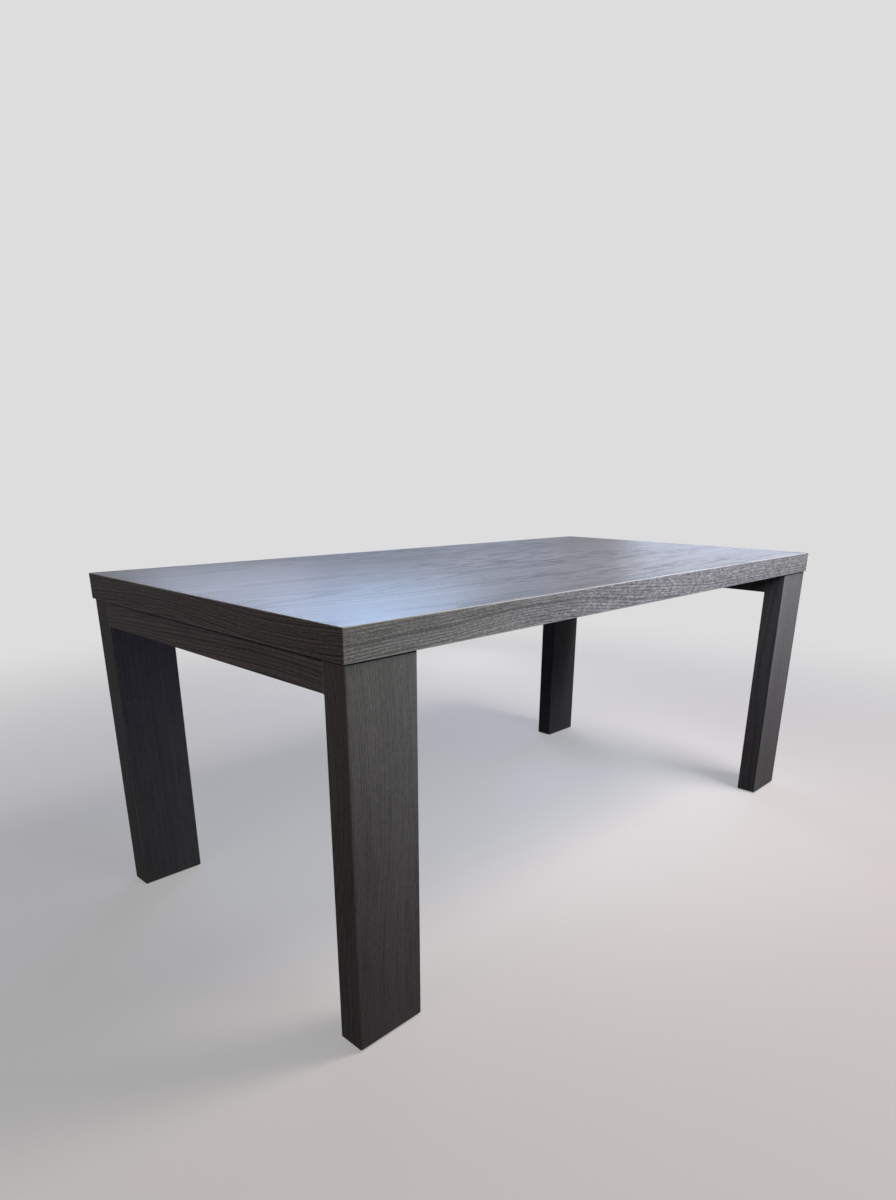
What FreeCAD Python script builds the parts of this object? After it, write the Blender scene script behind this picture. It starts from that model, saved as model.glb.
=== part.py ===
"""Parsons dining table: a hollow, mitred top bolted to two end frames of flat legs and rails.

Millimetres. X runs along the table, Y across it, Z up from the floor. The origin is on the floor
under the middle of the top. Front is -Y, left is -X.
"""
import FreeCAD
import Part
import math
import os

# ---------------------------------------------------------------------------------------------
# Driving dimensions
# ---------------------------------------------------------------------------------------------

# Overall size
table_length = 1800.0
table_width = 900.0
table_height = 760.0
top_thickness = 56.0

# End frames: how far the top stands past them, and their stock
end_overhang = 5.0
side_overhang = 3.5
leg_width = 146.0
leg_thickness = 57.0
rail_height = 57.0

# Skins and edges of the top
panel_thickness = 12.0
edge_board_thickness = 12.0
underside_thickness = 9.0

# Core of the top
rib_thickness = 18.0
long_rib_count = 3
cross_rib_count = 5
backer_width = 35.0
block_set_in = 10.0
lap_clearance = 0.1

# Eased edges
top_arris_radius = 2.0
frame_arris_radius = 3.0
seam_chamfer = 1.0
foot_chamfer = 1.5

# Loose tenons, two side by side between each leg and its rail
tenon_thickness = 18.0
tenon_width = 48.0
tenon_length = 80.0
tenon_in_leg = 40.0
tenon_spacing = 68.0
tenon_chamfer = 1.5
tenon_clearance = 0.1
mortise_end_room = 0.8

# Furniture bolts that hold each end frame up against the top
bolt_diameter = 8.0
bolt_length = 60.0
head_diameter = 18.0
head_height = 3.5
socket_across_flats = 5.0
socket_depth = 4.5
bolt_row_spacing = 80.0
bolt_from_leg = 120.0
rail_wood_over_head = 35.0
bolt_hole_clearance = 0.5
counterbore_clearance = 1.0

# Threaded inserts in the underside of the top
insert_diameter = 12.5
insert_length = 22.0
insert_bore_clearance = 0.1
insert_clearance = 0.1
bolt_tip_room = 3.0

# Hard glides stuck under the legs
glide_thickness = 3.0
glide_margin = 10.0
glide_chamfer = 1.0

# ---------------------------------------------------------------------------------------------
# Levels and faces that several pieces share
# ---------------------------------------------------------------------------------------------

half_length = table_length / 2
half_width = table_width / 2
top_underside = table_height - top_thickness
panel_underside = table_height - panel_thickness
core_bottom = top_underside + underside_thickness
core_height = panel_underside - core_bottom

cavity_half_length = half_length - edge_board_thickness
cavity_half_width = half_width - edge_board_thickness

frame_half_width = half_width - side_overhang
frame_half_depth = leg_width / 2
leg_inner_face = frame_half_width - leg_thickness
frame_centre = half_length - end_overhang - frame_half_depth
rail_underside = top_underside - rail_height
rail_middle = top_underside - rail_height / 2

block_inner_face = frame_centre - frame_half_depth + block_set_in
backer_inner_face = cavity_half_width - backer_width

head_seat = top_underside - rail_wood_over_head
bolt_tip = head_seat + bolt_length
insert_top = top_underside + insert_length

# Centres of the bolts of one end frame, about that frame's own middle
bolt_places = [
    (x, y)
    for x in (-bolt_row_spacing / 2, bolt_row_spacing / 2)
    for y in (bolt_from_leg - leg_inner_face, leg_inner_face - bolt_from_leg)
]

# ---------------------------------------------------------------------------------------------
# Shapes that several pieces use
# ---------------------------------------------------------------------------------------------


def vector(x, y, z):
    return FreeCAD.Vector(x, y, z)


def block(corner, opposite):
    """A box between two opposite corners, in any order."""
    low = [min(pair) for pair in zip(corner, opposite)]
    size = [abs(a - b) for a, b in zip(corner, opposite)]
    return Part.makeBox(*size, vector(*low))


def prism(corners, travel):
    """A flat outline carried in a straight line."""
    outline = Part.makePolygon([vector(*corner) for corner in corners + corners[:1]])
    return Part.Face(outline).extrude(vector(*travel))


def rod(radius, low, high, x=0.0, y=0.0):
    """A round rod or hole along Z."""
    return Part.makeCylinder(radius, high - low, vector(x, y, low))


def moved(shape, x=0.0, y=0.0, z=0.0):
    """A copy of the shape, shifted."""
    copy = shape.copy()
    copy.translate(vector(x, y, z))
    return copy


def half_turned(shape):
    """A copy of the shape, turned half round about the Z axis."""
    copy = shape.copy()
    copy.rotate(vector(0, 0, 0), vector(0, 0, 1), 180)
    return copy


def edges_of(shape, is_wanted):
    """The edges whose middle point passes a test."""
    return [edge for edge in shape.Edges if is_wanted(edge.CenterOfMass)]


def near(value, target):
    return abs(value - target) < 1e-6


def save(node, *solids):
    """Write one node, as one solid or as a group of separate solids."""
    shape = solids[0] if len(solids) == 1 else Part.makeCompound(list(solids))
    shape.exportStep(os.path.join("parts", node + ".step"))


# ---------------------------------------------------------------------------------------------
# The top: a torsion box whose visible faces meet on mitres
# ---------------------------------------------------------------------------------------------


def top_envelope():
    """The outside of the finished top, with every arris eased."""
    slab = block((-half_length, -half_width, top_underside),
                 (half_length, half_width, table_height))
    return slab.makeFillet(top_arris_radius, slab.Edges)


def mitred_plate():
    """The upper panel before its arris is eased: its four edges slope in from the top face, so
    that each meets the matching slope on an edge board."""
    along = [
        (-half_length, table_height),
        (half_length, table_height),
        (cavity_half_length, panel_underside),
        (-cavity_half_length, panel_underside),
    ]
    across = [
        (-half_width, table_height),
        (half_width, table_height),
        (cavity_half_width, panel_underside),
        (-cavity_half_width, panel_underside),
    ]
    sloped_ends = prism([(x, -half_width, z) for x, z in along], (0, table_width, 0))
    sloped_sides = prism([(-half_length, y, z) for y, z in across], (table_length, 0, 0))
    return sloped_ends.common(sloped_sides)


def edge_boards():
    """The four boards round the top: the rim that the plate and the cavity leave, cut on
    upright mitre planes that run in at 45 degrees from each corner."""
    cavity = block((-cavity_half_length, -cavity_half_width, top_underside),
                   (cavity_half_length, cavity_half_width, panel_underside))
    rim = top_envelope().cut(mitred_plate()).cut(cavity)
    reach = 2 * edge_board_thickness
    out_x, out_y = half_length + reach, half_width + reach
    in_x, in_y = half_length - reach, half_width - reach
    front = [(-out_x, -out_y), (out_x, -out_y), (in_x, -in_y), (-in_x, -in_y)]
    left = [(-out_x, -out_y), (-in_x, -in_y), (-in_x, in_y), (-out_x, out_y)]
    sectors = {
        "edge_board_front": front,
        "edge_board_back": [(-x, -y) for x, y in front],
        "edge_board_left_end": left,
        "edge_board_right_end": [(-x, -y) for x, y in left],
    }
    for node, outline in sectors.items():
        sector = prism([(x, y, 0.0) for x, y in outline], (0, 0, table_height + reach))
        yield node, rim.common(sector)


def insert_holes(end):
    """Holes for one end's inserts, deep enough for the tips of the bolts."""
    radius = insert_diameter / 2 + insert_clearance
    depth_end = max(insert_top, bolt_tip) + bolt_tip_room
    return Part.makeCompound([
        rod(radius, top_underside, depth_end, end * frame_centre + x, y)
        for x, y in bolt_places
    ])


def underside_panel():
    """The lower skin, let in flush between the long edge boards and the two fixing blocks."""
    return block((-block_inner_face, -cavity_half_width, top_underside),
                 (block_inner_face, cavity_half_width, core_bottom))


def fixing_block(end):
    """The solid wood in one end of the top, from the upper panel right down to the end frame
    that is bolted to it. Its joint with the underside panel lies over that frame, out of sight."""
    solid = block((end * cavity_half_length, -cavity_half_width, top_underside),
                  (end * block_inner_face, cavity_half_width, panel_underside))
    return solid.cut(insert_holes(end))


def backer(side):
    """The solid strip behind one long edge board, between the fixing blocks."""
    return block((-block_inner_face, side * cavity_half_width, core_bottom),
                 (block_inner_face, side * backer_inner_face, panel_underside))


def even_places(count, half_span):
    """Centres of ribs that share a span evenly."""
    pitch = 2 * half_span / (count + 1)
    return [-half_span + pitch * (number + 1) for number in range(count)]


def core_ribs():
    """Ribs on edge that cross like an egg crate. Each long rib is notched from above and each
    cross rib from below, to half its height, so that the pairs drop together."""
    lines_y = even_places(long_rib_count, backer_inner_face)
    lines_x = even_places(cross_rib_count, block_inner_face)
    half_rib = rib_thickness / 2
    half_notch = half_rib + lap_clearance
    middle = core_bottom + core_height / 2

    for number, y in enumerate(lines_y, start=1):
        rib = block((-block_inner_face, y - half_rib, core_bottom),
                    (block_inner_face, y + half_rib, panel_underside))
        for x in lines_x:
            rib = rib.cut(block((x - half_notch, y - half_notch, middle - lap_clearance),
                                (x + half_notch, y + half_notch, panel_underside)))
        yield "core_long_rib_%d" % number, rib

    for number, x in enumerate(lines_x, start=1):
        rib = block((x - half_rib, -backer_inner_face, core_bottom),
                    (x + half_rib, backer_inner_face, panel_underside))
        for y in lines_y:
            rib = rib.cut(block((x - half_notch, y - half_notch, core_bottom),
                                (x + half_notch, y + half_notch, middle + lap_clearance)))
        yield "core_cross_rib_%d" % number, rib


# ---------------------------------------------------------------------------------------------
# The end frames, each modelled about its own middle and then moved to its end
# ---------------------------------------------------------------------------------------------


def tenon_box(x, back, forth, clearance):
    """The room that a tenon takes at one place along X, between two distances from the front
    leg's inner face: back into the leg and forth into the rail."""
    half_wide = tenon_width / 2 + clearance
    half_high = tenon_thickness / 2 + clearance
    return block((x - half_wide, -leg_inner_face - back, rail_middle - half_high),
                 (x + half_wide, -leg_inner_face + forth, rail_middle + half_high))


def tenon_places():
    return (-tenon_spacing / 2, tenon_spacing / 2)


def leg_mortises():
    """The front leg's mortises, a little deeper than the tenons reach."""
    depth = tenon_in_leg + mortise_end_room
    return Part.makeCompound([
        tenon_box(x, depth, 0.0, tenon_clearance) for x in tenon_places()
    ])


def rail_mortises():
    """The mortises in the rail's front end, a little deeper than the tenons reach."""
    depth = tenon_length - tenon_in_leg + mortise_end_room
    return Part.makeCompound([
        tenon_box(x, 0.0, depth, tenon_clearance) for x in tenon_places()
    ])


def loose_tenons():
    """The four tenons of one end frame, with the arrises of both their ends taken off."""
    front = []
    for x in tenon_places():
        tenon = tenon_box(x, tenon_in_leg, tenon_length - tenon_in_leg, 0.0)
        ends = (-leg_inner_face - tenon_in_leg, -leg_inner_face - tenon_in_leg + tenon_length)
        end_edges = edges_of(tenon, lambda p: near(p.y, ends[0]) or near(p.y, ends[1]))
        front.append(tenon.makeChamfer(tenon_chamfer, end_edges))
    return front + [half_turned(tenon) for tenon in front]


def stopped_round(x_side):
    """The wood taken off one inner upright arris of the front leg, up to the rail."""
    corner_x = x_side * frame_half_depth
    centre_x = corner_x - x_side * frame_arris_radius
    centre_y = -leg_inner_face - frame_arris_radius
    waste = block((corner_x, -leg_inner_face, glide_thickness),
                  (centre_x, centre_y, rail_underside))
    return waste.cut(rod(frame_arris_radius, glide_thickness, rail_underside, centre_x, centre_y))


def front_leg():
    """A flat post from its glide to the underside of the top. Its outer arrises are eased all
    the way up and its inner ones up to the rail, where the rail's end butts against it."""
    leg = block((-frame_half_depth, -frame_half_width, glide_thickness),
                (frame_half_depth, -leg_inner_face, top_underside))
    uprights = edges_of(leg, lambda p: near(abs(p.x), frame_half_depth)
                        and near(p.y, -frame_half_width))
    leg = leg.makeFillet(frame_arris_radius, uprights)
    for x_side in (-1, 1):
        leg = leg.cut(stopped_round(x_side))
    foot_edges = edges_of(leg, lambda p: near(p.z, glide_thickness))
    leg = leg.makeChamfer(foot_chamfer, foot_edges)
    seam_edges = edges_of(leg, lambda p: near(p.z, top_underside)
                          and not near(p.y, -leg_inner_face))
    leg = leg.makeChamfer(seam_chamfer, seam_edges)
    return leg.cut(leg_mortises())


def rail():
    """The rail between the legs of one end frame, laid flat and flush with their faces. Its
    bolts go up through counterbored holes."""
    bar = block((-frame_half_depth, -leg_inner_face, rail_underside),
                (frame_half_depth, leg_inner_face, top_underside))
    lower_arrises = edges_of(bar, lambda p: near(abs(p.x), frame_half_depth)
                             and near(p.z, rail_underside))
    bar = bar.makeFillet(frame_arris_radius, lower_arrises)
    upper_arrises = edges_of(bar, lambda p: near(abs(p.x), frame_half_depth)
                             and near(p.z, top_underside))
    bar = bar.makeChamfer(seam_chamfer, upper_arrises)
    for x, y in bolt_places:
        bar = bar.cut(rod(bolt_diameter / 2 + bolt_hole_clearance,
                          rail_underside, top_underside, x, y))
        bar = bar.cut(rod(head_diameter / 2 + counterbore_clearance,
                          rail_underside, head_seat, x, y))
    return bar.cut(rail_mortises()).cut(half_turned(rail_mortises()))


def furniture_bolt():
    """A bolt along Z with a wide, low head and a hexagon socket, head seat at zero."""
    head = rod(head_diameter / 2, -head_height, 0.0)
    shank = rod(bolt_diameter / 2, 0.0, bolt_length)
    corner = socket_across_flats / math.sqrt(3)
    turns = [math.radians(60 * side) for side in range(6)]
    hexagon = [(corner * math.cos(a), corner * math.sin(a), -head_height) for a in turns]
    return head.fuse(shank).cut(prism(hexagon, (0, 0, socket_depth)))


def threaded_insert():
    """A sleeve from zero up, whose bore takes a bolt."""
    sleeve = rod(insert_diameter / 2, 0.0, insert_length)
    return sleeve.cut(rod(bolt_diameter / 2 + insert_bore_clearance, 0.0, insert_length))


def front_glide():
    """A flat glide set in from the front leg's faces all round, so that it hardly shows."""
    glide = block(
        (glide_margin - frame_half_depth, glide_margin - frame_half_width, 0.0),
        (frame_half_depth - glide_margin, -leg_inner_face - glide_margin, glide_thickness),
    )
    lower_arrises = edges_of(glide, lambda p: near(p.z, 0.0))
    return glide.makeChamfer(glide_chamfer, lower_arrises)


# ---------------------------------------------------------------------------------------------
# Put together and written out
# ---------------------------------------------------------------------------------------------


def write_top():
    save("top_panel", top_envelope().common(mitred_plate()))
    for node, board in edge_boards():
        save(node, board)
    save("underside_panel", underside_panel())
    save("core_backer_front", backer(-1))
    save("core_backer_back", backer(1))
    for node, rib in core_ribs():
        save(node, rib)


def write_end_frame(end_name, end):
    """One end frame with its joints, its glides and its fixings to the top."""
    x = end * frame_centre
    leg, glide = front_leg(), front_glide()
    save("leg_front_" + end_name, moved(leg, x))
    save("leg_back_" + end_name, moved(half_turned(leg), x))
    save("foot_glide_front_" + end_name, moved(glide, x))
    save("foot_glide_back_" + end_name, moved(half_turned(glide), x))
    save("end_rail_" + end_name, moved(rail(), x))
    save("loose_tenons_" + end_name, *[moved(tenon, x) for tenon in loose_tenons()])
    save("fixing_block_" + end_name, fixing_block(end))
    bolts = [moved(furniture_bolt(), x + bx, by, head_seat) for bx, by in bolt_places]
    save("frame_bolts_" + end_name, *bolts)
    inserts = [moved(threaded_insert(), x + bx, by, top_underside) for bx, by in bolt_places]
    save("threaded_inserts_" + end_name, *inserts)


os.makedirs("parts", exist_ok=True)
write_top()
write_end_frame("left", -1)
write_end_frame("right", 1)
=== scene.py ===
import math

import bpy
import numpy as np
from mathutils import Matrix, Vector


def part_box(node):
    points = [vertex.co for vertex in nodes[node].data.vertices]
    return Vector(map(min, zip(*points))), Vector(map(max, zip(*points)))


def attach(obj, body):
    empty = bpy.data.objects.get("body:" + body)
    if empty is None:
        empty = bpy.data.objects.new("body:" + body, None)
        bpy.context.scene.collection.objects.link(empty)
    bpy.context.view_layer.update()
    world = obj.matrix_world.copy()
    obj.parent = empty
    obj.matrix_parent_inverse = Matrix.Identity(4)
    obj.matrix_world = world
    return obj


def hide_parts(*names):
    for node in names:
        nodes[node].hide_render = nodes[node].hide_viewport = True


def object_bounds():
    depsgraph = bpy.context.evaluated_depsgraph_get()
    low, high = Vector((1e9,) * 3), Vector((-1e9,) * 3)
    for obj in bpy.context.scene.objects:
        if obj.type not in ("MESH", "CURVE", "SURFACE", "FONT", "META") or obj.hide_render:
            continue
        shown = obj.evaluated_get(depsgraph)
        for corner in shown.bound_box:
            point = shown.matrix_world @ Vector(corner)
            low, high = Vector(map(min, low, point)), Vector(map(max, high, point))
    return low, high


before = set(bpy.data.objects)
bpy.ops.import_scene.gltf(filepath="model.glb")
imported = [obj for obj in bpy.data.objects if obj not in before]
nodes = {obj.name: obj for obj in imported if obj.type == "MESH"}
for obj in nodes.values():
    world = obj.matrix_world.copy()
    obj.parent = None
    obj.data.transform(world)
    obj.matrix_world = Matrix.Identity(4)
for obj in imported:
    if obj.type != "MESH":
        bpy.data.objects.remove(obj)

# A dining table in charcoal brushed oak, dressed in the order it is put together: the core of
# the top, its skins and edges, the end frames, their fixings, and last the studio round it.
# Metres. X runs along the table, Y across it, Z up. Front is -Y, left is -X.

cad_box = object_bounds()


# ---------------------------------------------------------------------------------------------
# Core of the top. Ribs, backers and fixing blocks are planed pine, glued up as an egg crate
# between the skins. None of it shows once the top is closed.
# ---------------------------------------------------------------------------------------------


def screen(red, green, blue):
    """The linear colour that a screen shows at these levels from 0 to 255."""
    levels = np.array([red, green, blue]) / 255
    linear = np.where(levels > 0.04045, ((levels + 0.055) / 1.055) ** 2.4, levels / 12.92)
    return (*linear.tolist(), 1.0)


class Finish:
    """The node tree of one material. Each method adds a node and hands back its output. What a
    method is given may be a plain value or the output of another node."""

    def __init__(self, name):
        self.material = bpy.data.materials.new(name)
        self.material.use_nodes = True
        self.tree = self.material.node_tree
        self.tree.nodes.clear()

    def add(self, kind, inlets, outlet=0, **settings):
        node = self.tree.nodes.new("ShaderNode" + kind)
        for setting, value in settings.items():
            setattr(node, setting, value)
        for inlet, value in inlets.items():
            if isinstance(value, bpy.types.NodeSocket):
                self.tree.links.new(value, node.inputs[inlet])
            else:
                node.inputs[inlet].default_value = value
        return node.outputs[outlet]

    def math(self, operation, *values):
        return self.add("Math", dict(enumerate(values)), operation=operation)

    def times(self, first, second):
        return self.math("MULTIPLY", first, second)

    def plus(self, first, second):
        return self.math("ADD", first, second)

    def ease(self, value, low, high, at_low=0.0, at_high=1.0):
        """Pass smoothly from one value to another while the input goes from low to high."""
        return self.add("MapRange", {"Value": value, "From Min": low, "From Max": high,
                                     "To Min": at_low, "To Max": at_high},
                        interpolation_type="SMOOTHSTEP")

    def mix(self, share, first, second, blend="MIX"):
        """Mix two colours, which are inlets 6 and 7 of the node and its outlet 2."""
        return self.add("Mix", {0: share, 6: first, 7: second}, 2,
                        data_type="RGBA", blend_type=blend)

    def tint(self, colour, brightness):
        """Multiply a colour by a plain brightness."""
        grey = self.add("CombineColor", {0: brightness, 1: brightness, 2: brightness})
        return self.mix(1.0, colour, grey, "MULTIPLY")

    def place(self):
        """Where a point lies on the part, in metres."""
        return self.add("TexCoord", {}, "Object")

    def noise(self, place, detail=2.0, roughness=0.5):
        """Cloudy change over a place that is already scaled to the size of the clouds."""
        return self.add("TexNoise", {"Vector": place, "Scale": 1.0, "Detail": detail,
                                     "Roughness": roughness})

    def noise_along(self, value, scale, shift):
        """Slow change along one direction only."""
        where = self.plus(self.times(value, scale), shift)
        return self.add("TexNoise", {"W": where, "Scale": 1.0, "Detail": 1.0},
                        noise_dimensions="1D")

    def surface(self, colour, roughness, height, relief, **fixed):
        """Finish the tree: a surface shader whose relief, in metres, follows the height."""
        bump = self.add("Bump", {"Height": height, "Strength": 1.0, "Distance": relief})
        shader = self.add("BsdfPrincipled", {
            "Base Color": colour, "Roughness": roughness, "Normal": bump,
            **{inlet.replace("_", " "): value for inlet, value in fixed.items()}})
        return self.show(shader)

    def show(self, shader):
        """End the tree at a shader and hand back the finished material."""
        output = self.tree.nodes.new("ShaderNodeOutputMaterial")
        self.tree.links.new(shader, output.inputs["Surface"])
        return self.material


def log_pattern(finish, axes, seed, ring, pith, leaf=0.0):
    """Growth rings of the log that a board was cut from, the same pattern on all its faces.

    The board's own directions are its length, width and depth, and the pith is given as its place
    along width and depth. Distance from the pith is the root of the squares across the log; the
    pith wanders slowly along the length, and the log's taper adds to the distance, which draws
    the arches. That distance over the width of a ring is the age, and its fraction runs from one
    spring to the next. With a leaf width given, each leaf of veneer is cut from another place in
    the log. Hands back that fraction, a place stretched along the grain for finer patterns, and a
    tone that is the leaf's own."""
    split = finish.add("SeparateXYZ", {0: finish.place()}).node.outputs
    length, width, depth = (split["XYZ".index(axis)] for axis in axes)
    tone = 0.5
    if leaf:
        first_seam, log_length, off_middle = seed * 0.37, 7.0, leaf * 0.9
        number = finish.math("FLOOR", finish.plus(finish.times(width, 1 / leaf), first_seam))
        lot = finish.add("TexWhiteNoise", {"W": finish.plus(number, seed)}, "Color",
                         noise_dimensions="1D")
        shares = finish.add("SeparateColor", {0: lot}).node.outputs
        tone = shares[0]
        length = finish.plus(length, finish.times(shares[1], log_length))
        middle = finish.times(finish.plus(number, 0.5 - first_seam), leaf)
        width = finish.math("SUBTRACT", width, middle)
        width = finish.plus(width, finish.times(finish.plus(shares[2], -0.5), off_middle))

    wander_in_width, wander_in_depth = 0.09, 0.05
    sideways = finish.plus(finish.noise_along(length, 1.1, seed), -0.5)
    upwards = finish.plus(finish.noise_along(length, 0.8, seed + 40.0), -0.5)
    across = finish.plus(finish.times(sideways, wander_in_width), finish.plus(width, -pith[0]))
    inward = finish.plus(finish.times(upwards, wander_in_depth), finish.plus(depth, -pith[1]))
    distance = finish.math("SQRT", finish.plus(finish.times(across, across),
                                               finish.times(inward, inward)))

    grain = finish.add("CombineXYZ", {0: length, 1: width, 2: depth})

    def stretched(along, over, number):
        """A place in the board, scaled by one factor along the grain and by another across it.
        The number shifts it, so that no pattern repeats another."""
        scaled = finish.add("VectorMath", {0: grain, 1: (along, over, over)},
                            operation="MULTIPLY")
        return finish.add("VectorMath", {0: scaled, 1: (seed + number, number, seed)},
                          operation="ADD")

    taper, wave_depth, ripple_depth, uneven_years = 0.012, 0.012, 0.0022, 1.6
    waves = finish.plus(finish.noise(stretched(3.5, 16.0, 1.0)), -0.5)
    ripples = finish.plus(finish.noise(stretched(22.0, 130.0, 2.0)), -0.5)
    distance = finish.plus(distance, finish.times(length, taper))
    distance = finish.plus(distance, finish.times(waves, wave_depth))
    distance = finish.plus(distance, finish.times(ripples, ripple_depth))
    age = finish.times(distance, 1 / ring)
    age = finish.plus(age, finish.times(finish.noise_along(age, 0.45, seed), uneven_years))
    return finish.math("FRACT", age), stretched, tone


def pine(name, axes, seed, pith=(0.02, -0.05)):
    """Planed softwood: pale wood that darkens towards the end of each ring, then starts again
    at once, with a satin line where the knife left it smooth."""
    finish = Finish(name)
    ring, stretched, _ = log_pattern(finish, axes, seed, 0.0042, pith)
    late = finish.ease(ring, 0.35, 0.92)
    fibre = finish.noise(stretched(9.0, 900.0, 3.0), 3.0)
    stain = finish.noise(stretched(2.0, 14.0, 4.0))
    colour = finish.mix(late, screen(222, 190, 142), screen(182, 132, 80))
    colour = finish.tint(colour, finish.ease(fibre, 0.3, 0.7, 0.9, 1.06))
    colour = finish.tint(colour, finish.ease(stain, 0.3, 0.7, 0.93, 1.05))
    height = finish.plus(finish.times(late, 0.5), finish.times(fibre, 0.5))
    return finish.surface(colour, finish.ease(fibre, 0.3, 0.7, 0.48, 0.66), height, 0.00012)


def give(node, material):
    """Put a material in every slot of a node's object."""
    for slot in nodes[node].material_slots:
        slot.material = material


# Each piece has a seed of its own, so no two share their grain.
core_seed = 3.0
for side, end in ("front", "left"), ("back", "right"):
    give("core_backer_" + side, pine("pine_backer_" + side, "XZY", core_seed))
    give("fixing_block_" + end, pine("pine_block_" + end, "YXZ", core_seed + 1, (0.0, 0.6)))
    core_seed += 5.0
for name in sorted(nodes):
    if name.startswith("core_long_rib"):
        give(name, pine("pine_long_" + name[-1], "XZY", core_seed))
    if name.startswith("core_cross_rib"):
        give(name, pine("pine_cross_" + name[-1], "YZX", core_seed))
    core_seed += 1.7


# ---------------------------------------------------------------------------------------------
# Top panel and edge boards. Sawn oak veneer on solid lippings, folded round the core on long
# mitres, wire-brushed until the spring wood stands below the summer wood, stained charcoal and
# sealed with a matte lacquer that rubs paler along the arrises. That pale line along the arrises
# is also a painted highlight, where the rounded edges catch the light.
# ---------------------------------------------------------------------------------------------

top_box = (Vector((cad_box[0].x, cad_box[0].y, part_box("edge_board_front")[0].z)), cad_box[1])


def from_nearest_arris(finish, box):
    """Distance to the nearest arris of a box, which is the second smallest of the three
    distances to its faces."""
    middle, half = (box[0] + box[1]) / 2, (box[1] - box[0]) / 2
    offset = finish.add("VectorMath", {0: finish.place(), 1: middle}, operation="SUBTRACT")
    offset = finish.add("VectorMath", {0: offset}, operation="ABSOLUTE")
    inside = finish.add("VectorMath", {0: half, 1: offset}, operation="SUBTRACT")
    from_end, from_side, from_top = finish.add("SeparateXYZ", {0: inside}).node.outputs
    nearest_two = finish.math("MINIMUM", finish.math("MAXIMUM", from_end, from_side), from_top)
    return finish.math("MAXIMUM", finish.math("MINIMUM", from_end, from_side), nearest_two)


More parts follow.
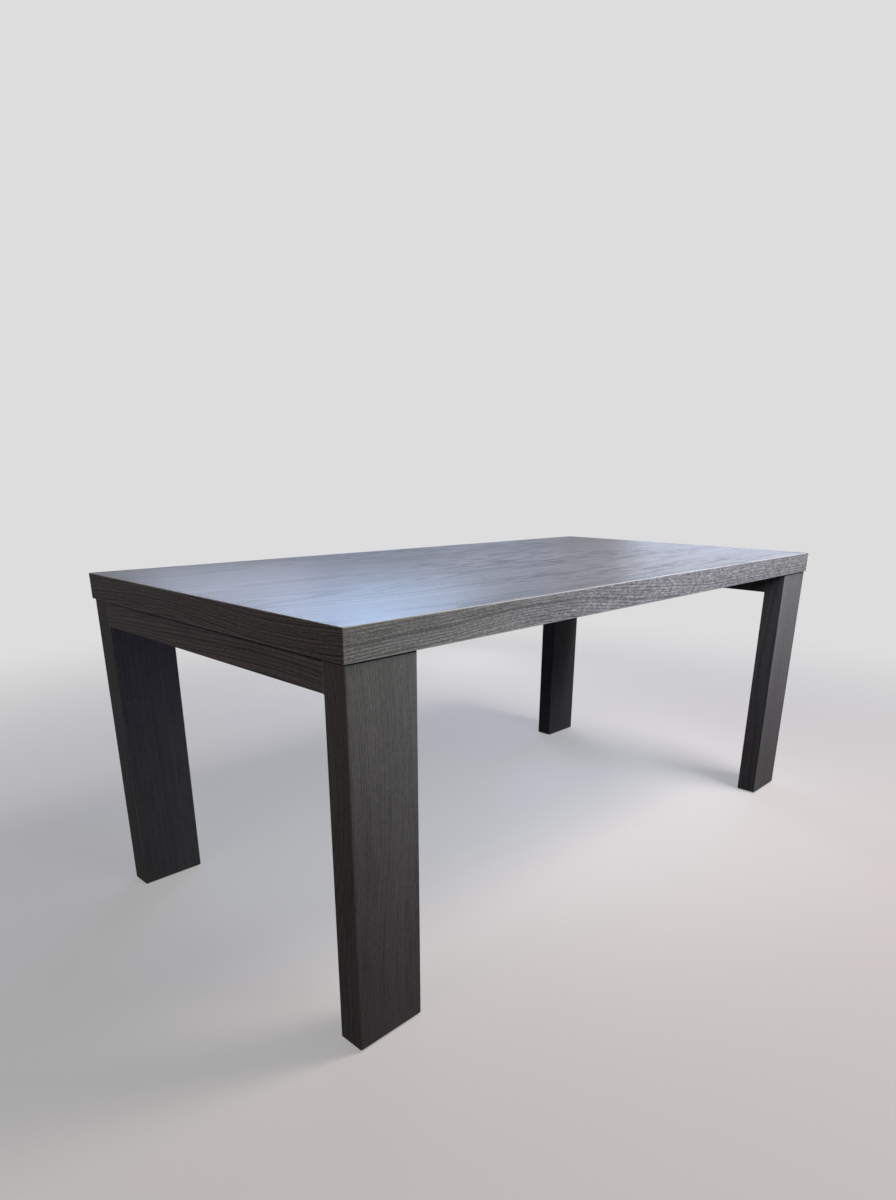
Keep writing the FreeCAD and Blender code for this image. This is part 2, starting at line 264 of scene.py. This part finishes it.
def brushed_oak(name, axes, seed, ring, pith, arris_box, leaf=0.0, brightness=1.0, figure=1.0,
                fleck=0.5, bitten_and_lit=None, smear=0.4, wiped=None, rubbed_highlight=0.5, shine=0.2, matte=0.0,
                joint_shadow=None):
    """Ring-porous oak under a dark stain. Spring wood holds rows of open pores that take up the
    stain; summer wood stays paler and stands proud. Rays cross it as short dark ticks, the
    brush leaves pale flecks, the stain dries in smears along the grain, and each leaf took it a
    little differently. The figure is how far rings, fibres and pores stand out from the even
    stain. Between the two places along X given for the bite, the brush starts to bite coarser
    flecks, and their pale ones are also a painted highlight of light grazing the brushed grain.
    The smears fade between the two distances in wiped from its first value, a place along X. The
    arrises of the given box are lightened, both as lacquer rubbed pale and as a painted highlight
    where the rounded arrises catch the light. Where a joint is given, as its height and a reach,
    the wood that near is painted dark, a painted shadow in the seam under the top."""
    arris_band_inner, arris_band_outer, joint_shadow_fade, brushed_depth = 0.0008, 0.0026, 0.0022, 0.0003
    finish = Finish(name)
    ring_share, stretched, tone = log_pattern(finish, axes, seed, ring, pith, leaf)
    x, _, z = finish.add("SeparateXYZ", {0: finish.place()}).node.outputs

    # What shows of the wood: spring and summer, fibres, pores and rays.
    spring = finish.plus(finish.ease(ring_share, 0.06, 0.62, 1.0, 0.0),
                         finish.ease(ring_share, 0.9, 1.0))
    fibre = finish.noise(stretched(12.0, 1000.0, 3.0), 3.0, 0.6)
    streak = finish.noise(stretched(3.0, 260.0, 4.0), 2.0)
    vessels = finish.ease(finish.noise(stretched(95.0, 2100.0, 6.0), 1.0), 0.53, 0.64)
    pores = finish.times(vessels, finish.ease(spring, 0.0, 0.9, 0.12, 1.0))
    rays = finish.ease(finish.noise(stretched(70.0, 620.0, 7.0), 0.0), 0.68, 0.76)
    summer_colour, spring_colour = screen(109, 110, 114), screen(64, 65, 70)
    pore_colour, rubbed_highlight_colour = screen(36, 37, 41), screen(184, 186, 192)
    colour = finish.mix(finish.ease(spring, 0.0, 1.0, 0.5 - figure / 2, 0.5 + figure / 2),
                        summer_colour, spring_colour)
    colour = finish.tint(colour, finish.ease(fibre, 0.32, 0.68, 1 - 0.15 * figure,
                                             1 + 0.12 * figure))
    colour = finish.tint(colour, finish.ease(streak, 0.3, 0.7, 1 - 0.13 * figure,
                                             1 + 0.11 * figure))
    colour = finish.mix(finish.times(rays, 0.4 * figure), colour, pore_colour)

    # What brush and stain add: flecks, bites whose pale flecks are partly a painted highlight,
    # and smears in patches, with dark pores over all.
    flecks = finish.noise(stretched(150.0, 440.0, 8.0), 2.0, 0.6)
    colour = finish.tint(colour, finish.ease(flecks, 0.36, 0.66, 1 - 0.3 * fleck,
                                             1 + 0.45 * fleck))
    # Coarser bites, whose pale flecks are partly a painted highlight of light grazing the grain.
    if bitten_and_lit:
        coarse = finish.noise(stretched(90.0, 230.0, 11.0), 2.0, 0.65)
        bite_and_glint = finish.tint(colour, finish.ease(coarse, 0.38, 0.64, 0.7, 1.42))
        colour = finish.mix(finish.ease(x, *bitten_and_lit), colour, bite_and_glint)
    smears = finish.noise(stretched(10.0, 70.0, 9.0), 3.0, 0.6)
    patches = finish.noise(stretched(1.7, 6.0, 10.0))
    smeared = finish.times(finish.ease(smears, 0.38, 0.57, smear, 0.0),
                           finish.ease(patches, 0.36, 0.58, 0.35))
    if wiped:
        from_place = finish.math("ABSOLUTE", finish.plus(x, -wiped[0]))
        smeared = finish.times(smeared, finish.ease(from_place, wiped[1], wiped[2], 1.0, 0.12))
    colour = finish.tint(colour, finish.ease(smeared, 0.0, 1.0, 1.06, 0.5))
    colour = finish.mix(finish.times(pores, 0.7 * figure), colour, pore_colour)
    stain = finish.noise(stretched(1.6, 9.0, 5.0))
    colour = finish.tint(colour, finish.ease(stain, 0.3, 0.7, 0.93 * brightness,
                                             1.06 * brightness))
    if leaf:
        colour = finish.tint(colour, finish.ease(tone, 0.0, 1.0, 0.92, 1.08))

    # What use and light add: lacquer rubbed pale along the arrises, partly a painted highlight,
    # and a painted shadow in the seam under the top.
    rubbed_and_highlit = finish.ease(from_nearest_arris(finish, arris_box), arris_band_inner, arris_band_outer, rubbed_highlight, 0.0)
    rubbed_and_highlit = finish.times(rubbed_and_highlit, finish.ease(streak, 0.35, 0.6, 0.6, 1.0))
    colour = finish.mix(rubbed_and_highlit, colour, rubbed_highlight_colour)
    if joint_shadow:
        # Painted shadow: the wood next to the seam under the top is darkened, as shade falls there.
        from_joint = finish.math("ABSOLUTE", finish.plus(z, -joint_shadow[0]))
        painted_joint_shadow = finish.ease(from_joint, joint_shadow[1], joint_shadow[1] + joint_shadow_fade, 0.97, 0.0)
        colour = finish.mix(painted_joint_shadow, colour, screen(12, 12, 14))

    height = finish.plus(finish.plus(finish.times(spring, -0.55), finish.times(fibre, 0.3)),
                         finish.plus(finish.times(pores, -0.5), finish.times(flecks, 0.4)))
    roughness = finish.plus(finish.ease(smeared, 0.0, 1.0, 0.43 + matte, 0.56 + matte),
                            finish.plus(finish.times(pores, 0.16), finish.times(rubbed_and_highlit, -0.06)))
    return finish.surface(colour, roughness, height, brushed_depth * figure,
                          Specular_IOR_Level=shine)


face_front, face_left = top_box[0].y, top_box[0].x
face_top, face_under = top_box[1].z, top_box[0].z
pith = (0.0, face_top - 0.09)
give("top_panel", brushed_oak("oak_top", "XYZ", 11.0, 0.0085, pith, top_box, leaf=0.19,
                              brightness=0.85, figure=0.32, fleck=0.46, smear=0.67,
                              wiped=(0.15, 0.2, 0.85), rubbed_highlight=0.9))

# The corners of the edge boards are mitred tight, so their boxes for the pale arrises run past
# them. The long edge boards are painted paler than the end boards: painted light, for a lit
# front and a shaded left end.
long_edge_look = {"brightness": 1.66, "figure": 0.48, "fleck": 0.85, "rubbed_highlight": 0.9,
                  "bitten_and_lit": (-0.85, 0.0), "shine": 0.1, "matte": 0.06}
end_edge_look = {"brightness": 1.28, "figure": 0.75, "fleck": 0.85, "rubbed_highlight": 0.9,
                 "shine": 0.06, "matte": 0.14}
past_corners = Vector((0.1, 0.0, 0.0))
arris_box = (top_box[0] - past_corners, top_box[1] + past_corners)
for side, facing in ("front", 1), ("back", -1):
    pith = (face_under - 0.06, facing * (face_front + 0.07))
    give("edge_board_" + side, brushed_oak("oak_edge_" + side, "XZY", 26.0 - 3 * facing, 0.0044,
                                           pith, arris_box, **long_edge_look))
past_corners = Vector((0.0, 0.1, 0.0))
arris_box = (top_box[0] - past_corners, top_box[1] + past_corners)
for end, facing in ("left", 1), ("right", -1):
    pith = (face_under - 0.05, facing * (face_left + 0.06))
    give("edge_board_%s_end" % end, brushed_oak("oak_edge_" + end, "YZX", 34.0 - 3 * facing, 0.0038,
                                                pith, arris_box, **end_edge_look))

pith = (0.0, face_under + 0.1)
give("underside_panel", brushed_oak("oak_underside", "XYZ", 41.0, 0.007, pith, top_box, leaf=0.22,
                                    brightness=0.75, figure=0.5, fleck=0.2))


# ---------------------------------------------------------------------------------------------
# End frames. Two flat posts and a rail of the same stock, brushed and stained as the top is,
# joined flush with loose tenons. Their grain runs up the posts and along the rail.
# ---------------------------------------------------------------------------------------------

frame_ring, past_legs = 0.0048, Vector((0.0, 0.1, 0.0))
frame_look = {"smear": 0.3, "rubbed_highlight": 0.4, "shine": 0.06, "matte": 0.14}
# Reaches of the painted shadow in the seam under the top, wider under the rails.
leg_joint_shadow, rail_joint_shadow = (face_under, 0.0019), (face_under, 0.0038)
for end, end_sign in ("left", -1), ("right", 1):
    for side, side_sign in ("front", -1), ("back", 1):
        leg = "leg_%s_%s" % (side, end)
        low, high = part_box(leg)
        middle = (low + high) / 2
        seed = 50.0 + 7 * end_sign + 3 * side_sign
        pith = (middle.x + 0.24 * end_sign, middle.y - 0.09 * side_sign)
        # Painted shade: the back legs are painted darker than the front legs.
        give(leg, brushed_oak("oak_" + leg, "ZXY", seed, frame_ring, pith, (low, high),
                              brightness=1.12 - 0.18 * side_sign, figure=0.22, fleck=0.3,
                              joint_shadow=leg_joint_shadow, **frame_look))
    rail = "end_rail_" + end
    low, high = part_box(rail)
    pith = (low.z - 0.06, end_sign * 0.78)
    give(rail, brushed_oak("oak_" + rail, "YZX", 70.0 + end_sign, frame_ring, pith,
                           (low - past_legs, high + past_legs), brightness=1.4, figure=0.55,
                           joint_shadow=rail_joint_shadow, **frame_look))


# ---------------------------------------------------------------------------------------------
# Loose tenons. Strips of steamed beech, planed to slide into their mortises, with the arrises of
# both ends taken off. Two lie side by side in each joint, glued into leg and rail.
# ---------------------------------------------------------------------------------------------


def beech(name, axes, seed):
    """Steamed beech: even pinkish wood with fine dark flecks, where its rays are cut across."""
    finish = Finish(name)
    ring, stretched, _ = log_pattern(finish, axes, seed, 0.003, (0.4, 0.3))
    flecks = finish.ease(finish.noise(stretched(420.0, 2200.0, 3.0), 0.0), 0.6, 0.7)
    fibre = finish.noise(stretched(15.0, 1200.0, 4.0), 2.0)
    colour = finish.mix(finish.ease(ring, 0.4, 1.0), screen(214, 178, 140), screen(196, 154, 116))
    colour = finish.mix(finish.times(flecks, 0.4), colour, screen(150, 104, 72))
    colour = finish.tint(colour, finish.ease(fibre, 0.3, 0.7, 0.93, 1.05))
    return finish.surface(colour, finish.ease(fibre, 0.3, 0.7, 0.5, 0.62), flecks, 0.00005)


for number, end in enumerate(("left", "right")):
    give("loose_tenons_" + end, beech("beech_tenons_" + end, "YXZ", 80.0 + number))


# ---------------------------------------------------------------------------------------------
# Fixings. Zinc-plated furniture bolts, their threads rolled, go up through each rail into brass
# inserts, which a coarse outer thread holds in the fixing blocks of the top.
# ---------------------------------------------------------------------------------------------

around = 36
turn = np.linspace(0.0, 2 * np.pi, around, endpoint=False)
even = np.ones(around)


def thread(heights, crest, depth, pitch):
    """Radius of a screw thread, a row for each height and a column for each turn. The share of
    a pitch at a point is its height over the pitch less its share of a turn. The radius stays
    at the crest, slopes in by the depth, stays there and slopes out again, each over a quarter
    of the pitch, and the depth fades away over one pitch at both ends."""
    share = (heights[:, None] / pitch - turn / (2 * np.pi)) % 1.0
    groove = np.clip((np.abs(2 * share - 1) - 0.25) / 0.5, 0.0, 1.0)
    fade = np.clip(np.minimum(heights - heights[0], heights[-1] - heights) / pitch, 0.0, 1.0)
    return crest - depth * groove * fade[:, None]


def turned(name, heights, radii, places, foot, closed, material, node):
    """Copies of a turned piece, one at each place, all standing on the foot level. Row by row,
    a point is the radius times the cosine and sine of its turn, at the row's height. Quads join
    each row to the next. A closed profile joins its last row to its first, and any other one
    has a flat face at both ends. The piece stands in for a node and takes one of its materials."""
    ring = np.stack([radii * np.cos(turn), radii * np.sin(turn),
                     np.broadcast_to(heights[:, None], radii.shape) + foot], axis=2)
    shifts = np.column_stack([places, np.zeros(len(places))])
    points = (ring.reshape(1, -1, 3) + shifts[:, None, :]).reshape(-1, 3)
    rows = len(heights)
    row = np.arange(rows if closed else rows - 1)[:, None]
    column, after = np.arange(around), np.arange(1, around + 1) % around
    above = (row + 1) % rows
    quads = np.stack(np.broadcast_arrays(row * around + column, row * around + after,
                                         above * around + after, above * around + column), axis=2)
    starts = np.arange(len(places))[:, None] * rows * around
    faces = (quads.reshape(1, -1) + starts).reshape(-1, 4).tolist()
    if not closed:
        faces += (column[::-1] + starts).tolist()
        faces += (column + (rows - 1) * around + starts).tolist()
    mesh = bpy.data.meshes.new(name)
    mesh.from_pydata(points.tolist(), [], faces)
    mesh.polygons.foreach_set("use_smooth", np.ones(len(faces), dtype=bool))
    mesh.set_sharp_from_angle(angle=math.radians(35))
    mesh.materials.append(material)
    piece = bpy.data.objects.new(name, mesh)
    bpy.context.scene.collection.objects.link(piece)
    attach(piece, "root")
    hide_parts(node)


def metal(name, colour, shadow, roughness, scale):
    """Plated or turned metal: faint cloudy variation with fine tool marks round it."""
    finish = Finish(name)
    place = finish.place()
    cloud = finish.noise(finish.add("VectorMath", {0: place, 1: (scale,) * 3},
                                    operation="MULTIPLY"), 3.0)
    marks = finish.noise(finish.add("VectorMath", {0: place, 1: (400.0, 400.0, 9000.0)},
                                    operation="MULTIPLY"), 1.0)
    shade = finish.mix(finish.ease(cloud, 0.3, 0.7), shadow, colour)
    rough = finish.plus(finish.ease(cloud, 0.3, 0.7, roughness + 0.1, roughness),
                        finish.ease(marks, 0.3, 0.7, -0.03, 0.05))
    return finish.surface(shade, rough, marks, 0.00002, Metallic=1.0)


zinc = metal("zinc_plate", screen(208, 210, 214), screen(168, 172, 180), 0.26, 900.0)
brass = metal("turned_brass", screen(214, 178, 104), screen(170, 132, 66), 0.24, 700.0)

bolt_radius, bolt_plain_shank, bolt_taper = 0.004, 0.024, 0.0011
bolt_pitch, bolt_depth, rows_in_bolt_pitch = 0.00125, 0.0007, 6
head_radius, head_height, head_flat_radius, head_rim = 0.009, 0.0035, 0.007, 0.0002
socket_flat, socket_depth, socket_rim = 0.0025, 0.0045, 0.0003
insert_radius, insert_wall, insert_rim, insert_taper = 0.00625, 0.00215, 0.0004, 0.001
insert_pitch, insert_depth, rows_in_insert_pitch = 0.003, 0.0009, 12
bore_radius, bore_depth, bore_rim = insert_radius - insert_wall, 0.0005, 0.0006
bolts_apart = 0.08

for end in ("left", "right"):
    low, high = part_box("frame_bolts_" + end)
    middle_x, outer_y = (low.x + high.x) / 2, high.y - head_radius
    places = np.array([(middle_x + x, y) for x in (-bolts_apart / 2, bolts_apart / 2)
                       for y in (-outer_y, outer_y)])

    # The bolt's outline, from the floor of its socket out over the head and up to the tip. The
    # socket's wall is its flat over the cosine of the turn from the middle of that flat. The
    # head's face rounds over in three steps to its full width.
    socket = socket_flat / np.cos(turn % (math.pi / 3) - math.pi / 6)
    length = high.z - low.z
    height_and_radius = [(0.0002, 0.0075), (0.0006, head_radius - 0.0004), (0.0011, head_radius),
                         (head_height - head_rim, head_radius),
                         (head_height, head_radius - head_rim), (head_height, bolt_radius)]
    head_heights, head_radii = np.array(height_and_radius).T
    threaded = np.arange(bolt_plain_shank, length, bolt_pitch / rows_in_bolt_pitch)
    tip = np.minimum(thread(threaded, bolt_radius, bolt_depth, bolt_pitch),
                     bolt_radius + (length - bolt_taper - threaded)[:, None])
    heights = np.concatenate([[socket_depth, socket_rim, 0.0, 0.0], head_heights, threaded,
                              [length]])
    radii = np.concatenate([[socket, socket, socket + socket_rim, head_flat_radius * even],
                            head_radii[:, None] * even, tip, [(bolt_radius - bolt_taper) * even]])
    turned("threaded_bolts_" + end, heights, radii, places, low.z, False, zinc,
           "frame_bolts_" + end)

    # The insert's outline, up the outside and back down the bore.
    low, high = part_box("threaded_inserts_" + end)
    length = high.z - low.z
    outside = np.arange(insert_rim, length, insert_pitch / rows_in_insert_pitch)
    bore = np.arange(bore_rim, length - insert_rim, bolt_pitch / rows_in_bolt_pitch)
    heights = np.concatenate([[0.0], outside, [length, length], bore[::-1], [0.0]])
    radii = np.concatenate([
        [(insert_radius - insert_rim) * even],
        np.minimum(thread(outside, insert_radius, insert_depth, insert_pitch),
                   insert_radius + (length - insert_taper - outside)[:, None]),
        [(insert_radius - insert_taper) * even, (bore_radius + insert_rim) * even],
        2 * bore_radius - thread(bore, bore_radius, bore_depth, bolt_pitch)[::-1],
        [(bore_radius + bore_depth) * even]])
    turned("sleeve_inserts_" + end, heights, radii, places, low.z, True, brass,
           "threaded_inserts_" + end)


# ---------------------------------------------------------------------------------------------
# Glides. Hard black nylon pads, moulded with a fine spark texture and stuck under the legs. They
# are smaller than the feet, so only the dark gap that they leave shows.
# ---------------------------------------------------------------------------------------------


def nylon(name):
    """Moulded black nylon: a fine spark texture, scuffed to a paler grey in streaks."""
    finish = Finish(name)
    spark = finish.noise(finish.add("VectorMath", {0: finish.place(), 1: (2600.0,) * 3},
                                    operation="MULTIPLY"), 2.0)
    scuff = finish.noise(finish.add("VectorMath", {0: finish.place(), 1: (60.0, 240.0, 60.0)},
                                    operation="MULTIPLY"), 3.0)
    colour = finish.mix(finish.ease(scuff, 0.45, 0.75), screen(30, 30, 31), screen(58, 57, 56))
    return finish.surface(colour, finish.ease(scuff, 0.3, 0.7, 0.5, 0.68), spark, 0.00006)


glide_nylon = nylon("glide_nylon")
for name in nodes:
    if name.startswith("foot_glide"):
        give(name, glide_nylon)


# ---------------------------------------------------------------------------------------------
# Studio. A wide pale floor that fades into the pale background, soft lamps, and a camera that
# stands off the front left corner, a little above the top.
# ---------------------------------------------------------------------------------------------

background = screen(222, 221, 221)
floor_radius, floor_fade_start, floor_fade_end, floor_fill = 14.0, 1.1, 3.6, 0.45


def pale_where_seen(tree, shown, bounced):
    """Nodes that give one colour to the camera and to reflections, and another to soft light."""
    path = tree.nodes.new("ShaderNodeLightPath")
    seen = path.outputs["Is Camera Ray"]
    for ray in ("Is Glossy Ray", "Is Transmission Ray"):
        either = tree.nodes.new("ShaderNodeMath")
        either.operation = "MAXIMUM"
        tree.links.new(seen, either.inputs[0])
        tree.links.new(path.outputs[ray], either.inputs[1])
        seen = either.outputs[0]
    choice = tree.nodes.new("ShaderNodeMix")
    choice.data_type = "RGBA"
    tree.links.new(seen, choice.inputs[0])
    choice.inputs[6].default_value = bounced
    choice.inputs[7].default_value = shown
    return choice.outputs[2]


floor_finish = Finish("studio_floor")
floor_colour = pale_where_seen(floor_finish.tree, screen(226, 230, 235), screen(67, 66, 65))
lit = floor_finish.add("BsdfDiffuse", {"Color": floor_colour})
glow = floor_finish.add("Emission", {"Color": background})
from_middle = floor_finish.add("VectorMath", {0: floor_finish.place()}, "Value",
                               operation="LENGTH")
far = floor_finish.ease(from_middle, floor_fade_start, floor_fade_end, floor_fill, 1.0)
seen = floor_finish.math("MAXIMUM", floor_finish.add("LightPath", {}, "Is Camera Ray"),
                         floor_finish.add("LightPath", {}, "Is Glossy Ray"))
above = floor_finish.add("MixShader", {0: floor_finish.times(far, seen), 1: lit, 2: glow})
from_below = floor_finish.add("NewGeometry", {}, "Backfacing")
clear = floor_finish.add("BsdfTransparent", {})
floor_material = floor_finish.show(floor_finish.add("MixShader", {0: from_below, 1: above, 2: clear}))

floor_sides = 96
turns = np.linspace(0.0, 2 * np.pi, floor_sides, endpoint=False)
rim = np.column_stack([np.cos(turns), np.sin(turns), np.zeros(floor_sides)]) * floor_radius
floor_mesh = bpy.data.meshes.new("studio_floor")
floor_mesh.from_pydata(rim.tolist(), [], [tuple(range(floor_sides))])
floor_mesh.materials.append(floor_material)
floor = bpy.data.objects.new("studio_floor", floor_mesh)
bpy.context.scene.collection.objects.link(floor)

world = bpy.data.worlds.new("studio")
world.use_nodes = True
bpy.context.scene.world = world
sky = world.node_tree.nodes["Background"]
ambient = 0.02
world.node_tree.links.new(
    pale_where_seen(world.node_tree, background, (ambient, ambient, ambient * 1.04, 1.0)),
    sky.inputs["Color"])


def softbox(name, place, aim, size, power, colour, spread=180):
    """A square soft lamp that faces a point. Its power is in watts, and a grid narrows its beam to
    the spread, in degrees."""
    lamp = bpy.data.lights.new(name, "AREA")
    lamp.shape = "SQUARE"
    lamp.size = size
    lamp.energy = power
    lamp.color = colour
    lamp.spread = math.radians(spread)
    box = bpy.data.objects.new(name, lamp)
    box.matrix_world = Matrix.Translation(place) @ (
        (Vector(aim) - Vector(place)).to_track_quat("-Z", "Y").to_matrix().to_4x4())
    box.visible_camera = False
    bpy.context.scene.collection.objects.link(box)


# Warm light from over the front, and small gridded lamps that even it out along the table.
softbox("warm_softbox", (0.85, -1.2, 2.6), (0.6, -0.4, 0.7), 0.8, 52.5, (1.0, 0.81, 0.72))
softbox("front_grid_softbox", (0.3, -1.4, 1.65), (0.25, -0.4, 0.95), 0.8, 4.9, (0.91, 0.95, 1.0), 70)
softbox("corner_grid_softbox", (-0.4, -1.5, 1.3), (-0.65, -0.4, 0.95), 0.7, 1.48, (0.96, 1.0, 0.86), 60)
softbox("right_grid_softbox", (0.95, -1.0, 1.25), (0.86, -0.45, 0.72), 0.4, 0.36, (0.91, 0.97, 1.0), 44)
softbox("low_grid_softbox", (0.6, -1.6, 0.45), (-0.85, 0.45, 0.5), 0.5, 0.19, (0.64, 0.65, 1.0), 24)

# Cool light from behind, like that of windows, which lies on the top as a sheen.
softbox("window_right", (3.4, 1.0, 1.3), (0.8, -0.3, 0.76), 1.2, 15.5, (0.65, 0.75, 1.0))
softbox("window_back", (0.4, 1.9, 1.9), (-0.6, 0.0, 0.76), 1.2, 4.5, (0.38, 0.55, 1.0))
softbox("window_far", (2.0, 2.2, 2.4), (0.0, 0.0, 0.7), 1.6, 17.9, (0.38, 0.58, 1.0))
softbox("window_near", (0.0, 0.4, 1.2), (-0.98, -0.55, 0.76), 0.4, 0.125, (0.5, 0.71, 1.0), 44)
softbox("window_corner", (-0.3, 0.3, 1.3), (-0.95, -0.5, 0.76), 0.3, 0.2, (0.42, 0.63, 1.0), 44)
softbox("window_left", (-0.35, 0.8, 1.25), (-0.95, -0.1, 0.76), 0.5, 0.21, (0.66, 0.76, 1.0), 44)

# A dim warm fill for the left end, and another for the legs from behind.
softbox("left_softbox", (-2.6, -0.6, 1.8), (-0.9, -0.2, 0.75), 1.2, 1.95, (1.0, 0.74, 0.62), 90)
softbox("back_softbox", (1.9, 2.0, 0.5), (0.2, 0.3, 0.55), 0.6, 6.0, (1.0, 0.84, 0.66), 110)

# Heading, dip and roll are in radians, sensor and lens in millimetres.
camera_place = Vector((-1.5645, -1.3168, 0.9628))
camera_heading, camera_dip, camera_roll = 0.7540, 0.3322, 0.0102
camera_data = bpy.data.cameras.new("camera")
camera_data.sensor_width = 36.0
camera_data.lens = 22.658
camera_data.shift_x, camera_data.shift_y = -0.0134, 0.1166
camera = bpy.data.objects.new("camera", camera_data)
camera.matrix_world = (Matrix.Translation(camera_place)
                       @ Matrix.Rotation(camera_heading - math.pi / 2, 4, "Z")
                       @ Matrix.Rotation(math.pi / 2 - camera_dip, 4, "X")
                       @ Matrix.Rotation(camera_roll, 4, "Z"))
bpy.context.scene.collection.objects.link(camera)
bpy.context.scene.camera = camera
bpy.context.scene.view_settings.view_transform = "Standard"
